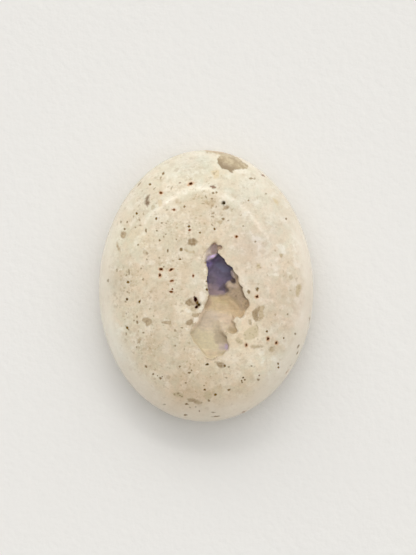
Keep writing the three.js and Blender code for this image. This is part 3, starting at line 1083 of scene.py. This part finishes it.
rock = {
    "cream": (223, 211, 188),
    "tan": (212, 196, 168),
    "pale": (233, 224, 207),
    "peach": (222, 203, 176),
    "greenish": (209, 202, 177),
    "paintedLightBelow": (4.3, 3.1),         # painted light: the flank is paler under these heights, in mm, for the paper's reflection and light through the thin edge
    "paintedLightBefore": (2.0, 7.0),        # but less so towards the narrow end
    "crowded": (-2.0, 5.0),          # the small dots grow fewer from left to right, in mm
    "dots": ((1.8, 0.22, 0.50), (3.2, 0.30, 0.60), (5.5, 0.26, 0.50)),   # per mm, share, strength
    "warm": (200, 181, 152),
    "fillingDeep": (97, 66, 34),
    "fillingDark": (148, 124, 88),
    "filling": (186, 165, 132),
    "fillingPale": (211, 195, 160),
    "grain": (114, 84, 2),
    "grainDark": (54, 36, 0),
    "rust": (110, 58, 0),
    "rustDark": (50, 9, 0),
    "rustFringe": (197, 129, 44),
    "stipple": (173, 150, 115),
    "crumb": (240, 233, 219),
    "patch": (166, 149, 119),
    "patchPale": (190, 174, 144),
    "patchDark": (142, 123, 94),
}


def shiftedPlace(tree, place, scale, amount):
    # the same place drawn about by noise, so that grains aren't round
    kind = "ShaderNodeVectorMath"
    drawn = clouds(tree, place, scale, 3, 0.6, "Color")
    centred = node(tree, kind, {0: drawn, 1: (0.5, 0.5, 0.5)}, operation="SUBTRACT").outputs[0]
    inputs = {0: centred, 1: (amount,) * 3, 2: place}
    return node(tree, kind, inputs, operation="MULTIPLY_ADD").outputs[0]


def grey(tree, value):
    return node(tree, "ShaderNodeCombineColor", {0: value, 1: value, 2: value}).outputs[0]


def over(tree, share, colour, name):
    # one of the rock's colours laid over another colour
    return blend(tree, share, colour, paint(*rock[name]))


def rockColour(tree, place):
    # the rock without the marks that the photograph places
    x, y, z = node(tree, "ShaderNodeSeparateXYZ", {"Vector": place}).outputs
    broad = fade(tree, clouds(tree, place, 0.45, 3), 0.35, 0.65)
    colour = over(tree, broad, paint(*rock["tan"]), "cream")
    hue = node(tree, "ShaderNodeSeparateColor", {"Color": clouds(tree, place, 1.2, 3, 0.5, "Color")})
    colour = over(tree, fade(tree, hue.outputs[0], 0.44, 0.62, 0, 0.5), colour, "peach")
    colour = over(tree, fade(tree, hue.outputs[1], 0.44, 0.62, 0, 0.5), colour, "greenish")
    patches = fade(tree, clouds(tree, place, 1.3, 5, 0.58), 0.48, 0.70, 0, 0.65)
    colour = over(tree, patches, colour, "pale")
    dim = fade(tree, clouds(tree, placeInMm(tree, (7, 3, 1)), 1.9, 5, 0.62), 0.50, 0.68, 0, 0.6)
    colour = over(tree, dim, colour, "warm")
    grain = fade(tree, clouds(tree, place, 6.5, 4, 0.8), 0.36, 0.64, 0.95, 1.045)
    colour = blend(tree, 1.0, colour, grey(tree, grain), "MULTIPLY")
    crowd = fade(tree, x, *rock["crowded"], 1.0, 0.45)
    colour = stippled(tree, colour, shiftedPlace(tree, place, 7, 0.30), crowd)
    # painted light: the flank paler low down, less so towards the narrow end
    low = fade(tree, z, *rock["paintedLightBelow"], 0, 0.7)
    low = times(tree, low, fade(tree, y, *rock["paintedLightBefore"], 1.0, 0.35))
    return over(tree, low, colour, "pale")


def stippled(tree, colour, place, crowd):
    # smudges that gather in places, and dots in three sizes
    smudges = clouds(tree, place, 5.5, 2, 0.5)
    gathered = fade(tree, clouds(tree, placeInMm(tree, (3, 8, 5)), 0.7, 4), 0.42, 0.60)
    gathered = times(tree, gathered, crowd)
    darker = times(tree, fade(tree, smudges, 0.58, 0.70, 0, 0.6), gathered)
    paler = times(tree, fade(tree, smudges, 0.42, 0.30, 0, 0.7), gathered)
    colour = over(tree, paler, over(tree, darker, colour, "stipple"), "pale")
    for scale, share, strength in rock["dots"]:
        cells = node(tree, "ShaderNodeTexVoronoi", {"Vector": place, "Scale": scale, "Randomness": 1.0})
        pick = node(tree, "ShaderNodeSeparateColor", {"Color": cells.outputs["Color"]})
        size = fade(tree, pick.outputs[1], 0, 1, 0.22, 0.46)
        dot = fade(tree, calc(tree, "DIVIDE", cells.outputs["Distance"], size), 1.0, 0.55)
        chosen = fade(tree, calc(tree, "DIVIDE", pick.outputs[0], crowd), share, share * 0.6)
        amount = times(tree, times(tree, dot, chosen), fade(tree, pick.outputs[2], 0, 1, 0.25, 1))
        colour = over(tree, times(tree, amount, strength), colour, "stipple")
    return colour


def tinted(tree, colour):
    # the slow changes of the rock's colour, partly its own tone and partly painted light and shade
    level = calc(tree, "ADD", reading(tree, "brighter"), 1.0)
    warmer, greener = reading(tree, "warmer"), reading(tree, "greener")
    lessGreen = calc(tree, "MULTIPLY_ADD", greener, -0.33, level)
    red = calc(tree, "MULTIPLY_ADD", warmer, 0.5, lessGreen)
    green = calc(tree, "MULTIPLY_ADD", greener, 0.67, level)
    blue = calc(tree, "MULTIPLY_ADD", warmer, -0.5, lessGreen)
    tint = node(tree, "ShaderNodeCombineColor", {0: red, 1: green, 2: blue}).outputs[0]
    return blend(tree, 1.0, colour, tint, "MULTIPLY")


def withBrokenRim(tree, colour, place, wobble):
    # a darker line around the window, here and there
    broken = fade(tree, clouds(tree, place, 2.6, 3), 0.46, 0.60, 0, 0.55)
    rim = times(tree, fade(tree, uneven(tree, "rim", wobble, 2.5), 1.6, 0.4), broken)
    return over(tree, rim, colour, "stipple")


def withFillings(tree, colour, place, wobble):
    # mottled fillings with a broken, darker edge, and how far a point is in one
    tone = reading(tree, "fillingTone")
    shade = over(tree, fade(tree, tone, 0.15, 0.55), paint(*rock["fillingDark"]), "filling")
    shade = over(tree, fade(tree, tone, 0.5, 0.9), shade, "fillingPale")
    shade = over(tree, fade(tree, tone, 0.15, 0.0), shade, "fillingDeep")
    mottled = clouds(tree, place, 4.5, 4, 0.65)
    shade = over(tree, fade(tree, mottled, 0.46, 0.66, 0, 0.35), shade, "tan")
    shade = over(tree, fade(tree, mottled, 0.46, 0.34, 0, 0.4), shade, "fillingDeep")
    edge = uneven(tree, "filling", wobble, 4.5)
    inFilling = fade(tree, edge, 1.3, -1.3, 0, 0.92)
    rim = times(tree, fade(tree, edge, 0.7, -0.3), fade(tree, edge, -1.8, -0.4))
    broken = times(tree, rim, fade(tree, clouds(tree, place, 2.5, 2), 0.45, 0.6, 0.0, 0.4))
    broken = times(tree, broken, fade(tree, tone, 0.8, 0.5))
    colour = blend(tree, inFilling, colour, shade)
    return over(tree, broken, colour, "fillingDark"), inFilling


def withPatch(tree, colour, place, wobble):
    # the tan filling at the edge of the dome
    mottled = fade(tree, clouds(tree, place, 3, 5, 0.65), 0.4, 0.62)
    shade = over(tree, mottled, paint(*rock["patch"]), "patchPale")
    shade = over(tree, fade(tree, uneven(tree, "patchDark", wobble, 5), 3.5, -3.0), shade, "patchDark")
    return blend(tree, fade(tree, uneven(tree, "patch", wobble, 5), 0.6, -0.8), colour, shade)


def withCrumbs(tree, colour, wobble, fineWobble):
    edge = calc(tree, "MULTIPLY_ADD", fineWobble, 7.0, uneven(tree, "crumb", wobble, 7.0))
    return over(tree, fade(tree, edge, 1.0, -1.6, 0, 0.65), colour, "crumb")


def withSpecks(tree, colour, wobble):
    # the grains, each in a pale ring, the rusty ones with a fringe, and how far a point is in one
    reach = uneven(tree, "speck", wobble, 2.6)
    tone = reading(tree, "speckTone")
    rusty = fade(tree, reading(tree, "rusty"), 0.2, 0.8)
    grain = over(tree, fade(tree, tone, 0.4, 0.0), paint(*rock["grain"]), "grainDark")
    rust = over(tree, fade(tree, tone, 0.3, 0.0), paint(*rock["rust"]), "rustDark")
    ring = times(tree, fade(tree, reach, 3.0, 1.8, 0, 0.16), fade(tree, tone, 0.8, 0.3))
    colour = over(tree, ring, colour, "pale")
    fringe = times(tree, fade(tree, reach, 2.2, 0.9), fade(tree, tone, 0.60, 0.05, 0, 0.6))
    fringe = times(tree, times(tree, fringe, rusty), fade(tree, tone, 0.0, 0.08, 0.25, 1))
    colour = over(tree, fringe, colour, "rustFringe")
    inSpeck = times(tree, fade(tree, reach, 1.3, 0.55), fade(tree, tone, 1.0, 0.35, 0.35, 1.0))
    return blend(tree, inSpeck, colour, blend(tree, rusty, grain, rust)), inSpeck


def markedRock(tree, place):
    # the rock with its marks: its colour, and how far a point is in a grain or in a filling
    wobble = noiseAbout(tree, place, 3.6, 5, 0.65)
    fineWobble = noiseAbout(tree, place, 8, 4, 0.7)
    colour = tinted(tree, rockColour(tree, place))
    colour = withBrokenRim(tree, colour, place, wobble)
    colour, inFilling = withFillings(tree, colour, place, wobble)
    colour = withPatch(tree, colour, place, wobble)
    colour = withCrumbs(tree, colour, wobble, fineWobble)
    colour, inSpeck = withSpecks(tree, colour, fineWobble)
    return colour, inSpeck, inFilling


def coated(material, tree, inputs):
    surface = node(tree, "ShaderNodeBsdfPrincipled", inputs)
    out = node(tree, "ShaderNodeOutputMaterial")
    tree.links.new(surface.outputs[0], out.inputs["Surface"])
    return material


def stoneMaterial():
    material, tree = newMaterial("polishedRhyolite")
    place = placeInMm(tree)
    colour, inSpeck, inFilling = markedRock(tree, place)
    polish = fade(tree, clouds(tree, place, 2.2, 4), 0.35, 0.75, 0.10, 0.20)
    rough = calc(tree, "MULTIPLY_ADD", inSpeck, 0.35, polish)
    pitted = times(tree, clouds(tree, place, 7, 3), 0.12)
    height = calc(tree, "MULTIPLY_ADD", inFilling, -0.25, pitted)
    normal = bumped(tree, height, 0.35, 0.02 * mm)
    return coated(material, tree, {"Base Color": colour, "Roughness": rough, "IOR": 1.5, "Normal": normal})


def pitMaterial():
    material, tree = newMaterial("rustyPits")
    colour, inSpeck, inFilling = markedRock(tree, placeInMm(tree))
    return coated(material, tree, {"Base Color": colour, "Roughness": 0.9, "Specular IOR Level": 0.05})


floorColours = {"dark": (214, 198, 172), "pale": (224, 208, 182)}       # where no zone is


def pocketMaterial():
    material, tree = newMaterial("pocketUnderOpal")
    place = placeInMm(tree)
    wobble = noiseAbout(tree, place, 5, 4, 0.6)
    broad = fade(tree, clouds(tree, place, 3, 4), 0.35, 0.65)
    colour = blend(tree, broad, paint(*floorColours["dark"]), paint(*floorColours["pale"]))
    for name, (deep, soft, shade, outline) in zones.items():
        inZone = fade(tree, uneven(tree, name, wobble, 2 * soft), soft, -soft)
        colour = blend(tree, inZone, colour, paint(*shade))
    thin = fade(tree, uneven(tree, "film", wobble, 0.5), 0.0, 0.45, 0.35, 0.0)
    colour = over(tree, thin, colour, "pale")
    streaks = clouds(tree, mapped(tree, place, (1.6, 6, 1), turn=0.2), 1, 4, 0.6)
    mottle = fade(tree, clouds(tree, place, 6, 4, 0.7), 0.3, 0.7, 0.94, 1.05)
    mottle = times(tree, mottle, fade(tree, streaks, 0.3, 0.7, 0.94, 1.06))
    stained = times(tree, fade(tree, reading(tree, "brownEdge"), 4, -3), fade(tree, wobble, 0.0, 0.14))
    mottle = times(tree, mottle, calc(tree, "MULTIPLY_ADD", stained, -0.26, 1.06))
    colour = blend(tree, 1.0, colour, grey(tree, mottle), "MULTIPLY")
    return coated(material, tree, {"Base Color": colour, "Roughness": 0.6, "IOR": 1.45})


def baseMaterial():
    material, tree = newMaterial("groundBase")
    place = placeInMm(tree)
    inSpeck = fade(tree, reading(tree, "speck"), 1.25, 0.6)
    inSpeck = times(tree, inSpeck, fade(tree, reading(tree, "speckTone"), 1.0, 0.35, 0.3, 1.0))
    colour = over(tree, inSpeck, rockColour(tree, place), "rust")
    scratches = clouds(tree, mapped(tree, place, (14, 1.2, 1), turn=0.5), 2, 3)
    normal = bumped(tree, scratches, 0.4, 0.02 * mm)
    return coated(material, tree, {"Base Color": colour, "Roughness": 0.62, "IOR": 1.5, "Normal": normal})


def opalMaterial():
    material, tree = newMaterial("clearOpal")
    surface = node(
        tree, "ShaderNodeBsdfPrincipled",
        {"Base Color": (1, 1, 1, 1), "Roughness": 0.03, "IOR": 1.45, "Transmission Weight": 1.0},
    )
    letThrough = node(tree, "ShaderNodeBsdfTransparent", {"Color": (1, 1, 1, 1)})
    shadow = node(tree, "ShaderNodeLightPath").outputs["Is Shadow Ray"]
    mixed = node(tree, "ShaderNodeMixShader", {0: shadow, 1: surface.outputs[0], 2: letThrough.outputs[0]})
    haze = node(tree, "ShaderNodeVolumeAbsorption", {"Color": (0.96, 0.93, 0.88, 1), "Density": 60})
    out = node(tree, "ShaderNodeOutputMaterial")
    tree.links.new(mixed.outputs[0], out.inputs["Surface"])
    tree.links.new(haze.outputs[0], out.inputs["Volume"])
    return material


stone.data.materials.clear()
for makeMaterial in (stoneMaterial, pocketMaterial, baseMaterial, pitMaterial):      # as in kindOf
    stone.data.materials.append(makeMaterial())
stone.data.polygons.foreach_set("material_index", kinds)
opal.data.materials.clear()
opal.data.materials.append(opalMaterial())
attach(stone, "root")
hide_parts("cabochon")
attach(opal, "root")
print("materials on")


# Paper and light

paper = {"size": 600 * mm, "colour": (0.80, 0.79, 0.765, 1), "toothScale": 1.5, "tooth": 0.2 * mm}
warmWhite = (1, 0.99, 0.975)         # the colour of the light


def makeFloor():
    bm = bmesh.new()
    bmesh.ops.create_grid(bm, x_segments=4, y_segments=4, size=paper["size"])
    floor = makePiece("paper", bm)
    material, tree = newMaterial("paperWhite")
    tooth = clouds(tree, placeInMm(tree), paper["toothScale"], 3, 0.6)
    normal = bumped(tree, tooth, 0.22, paper["tooth"])
    coated(material, tree, {"Base Color": paper["colour"], "Roughness": 0.9, "Normal": normal})
    floor.data.materials.append(material)


light = {
    "level": 0.46,                   # strength of the plain surroundings, all round
    "overhead": 0.27,                # and how much more from straight up
    "edge": 1.03,                    # how high the bright side reaches: height over distance
    "edgeRise": 0.58,                # it reaches higher to the right
    "leftRise": 0.16,                # and a little higher to the left
    "edgeSoft": 0.10,
    "glow": 0.95,                    # strength of the bright side
    "ridge": 7.0,                    # and of the strip along its upper edge
    "ridgeWide": 0.065,
    "leftEnd": (-1.7, -1.1),         # it fades out to the left between these
    "rightEnd": (2.4, 1.5),          # and to the right
    "behind": (0.05, 0.30),          # it is only beyond the narrow end
}

# The soft lamps that draw the shadow: turn and rise in degrees, watts per square metre
lamps = [(90, 38, 0.30), (120, 20, 0.21), (0, 38, 0.17)]
lampWide = math.radians(26)


def makeLamp(turn, rise, strength):
    # no reflection of its own: that is the strip in the surroundings
    data = bpy.data.lights.new("lamp", "SUN")
    data.energy = strength
    data.angle = lampWide
    data.color = warmWhite
    lamp = bpy.data.objects.new("lamp", data)
    turn, rise = math.radians(turn), math.radians(rise)
    towards = Vector((math.cos(turn) * math.cos(rise), math.sin(turn) * math.cos(rise), math.sin(rise)))
    lamp.rotation_euler = towards.to_track_quat("Z", "Y").to_euler()
    lamp.visible_glossy = False
    bpy.context.scene.collection.objects.link(lamp)


def makeLight():
    world = bpy.data.worlds.new("studio")
    bpy.context.scene.world = world
    world.use_nodes = True
    tree = world.node_tree
    tree.nodes.clear()
    way = node(tree, "ShaderNodeTexCoord").outputs["Generated"]
    x, y, z = node(tree, "ShaderNodeSeparateXYZ", {"Vector": way}).outputs
    farSide = calc(tree, "MAXIMUM", y, 0.02)
    height = calc(tree, "DIVIDE", z, farSide)
    aside = calc(tree, "DIVIDE", x, farSide)
    toRight = times(tree, calc(tree, "MAXIMUM", aside, 0.0), light["edgeRise"])
    toLeft = times(tree, calc(tree, "MINIMUM", aside, 0.0), -light["leftRise"])
    edge = calc(tree, "ADD", calc(tree, "ADD", toRight, toLeft), light["edge"])
    above = calc(tree, "SUBTRACT", height, edge)
    soft = light["edgeSoft"]
    ends = times(tree, fade(tree, aside, *light["leftEnd"]), fade(tree, aside, *light["rightEnd"]))
    facing = times(tree, fade(tree, y, *light["behind"]), ends)
    glow = times(tree, fade(tree, above, soft, -soft, 0, light["glow"]), facing)
    near = calc(tree, "DIVIDE", calc(tree, "ADD", above, light["ridgeWide"]), light["ridgeWide"])
    bell = calc(tree, "POWER", math.e, times(tree, times(tree, near, near), -1.0))
    ridge = times(tree, times(tree, bell, light["ridge"]), facing)
    room = calc(tree, "ADD", fade(tree, z, 0, 1, 0, light["overhead"]), light["level"])
    total = calc(tree, "ADD", calc(tree, "ADD", glow, ridge), room)
    sky = node(tree, "ShaderNodeBackground", {"Color": (*warmWhite, 1), "Strength": total})
    out = node(tree, "ShaderNodeOutputWorld")
    tree.links.new(sky.outputs[0], out.inputs["Surface"])


for lamp in lamps:
    makeLamp(*lamp)
makeFloor()
makeLight()
bpy.context.scene.view_settings.view_transform = "Standard"
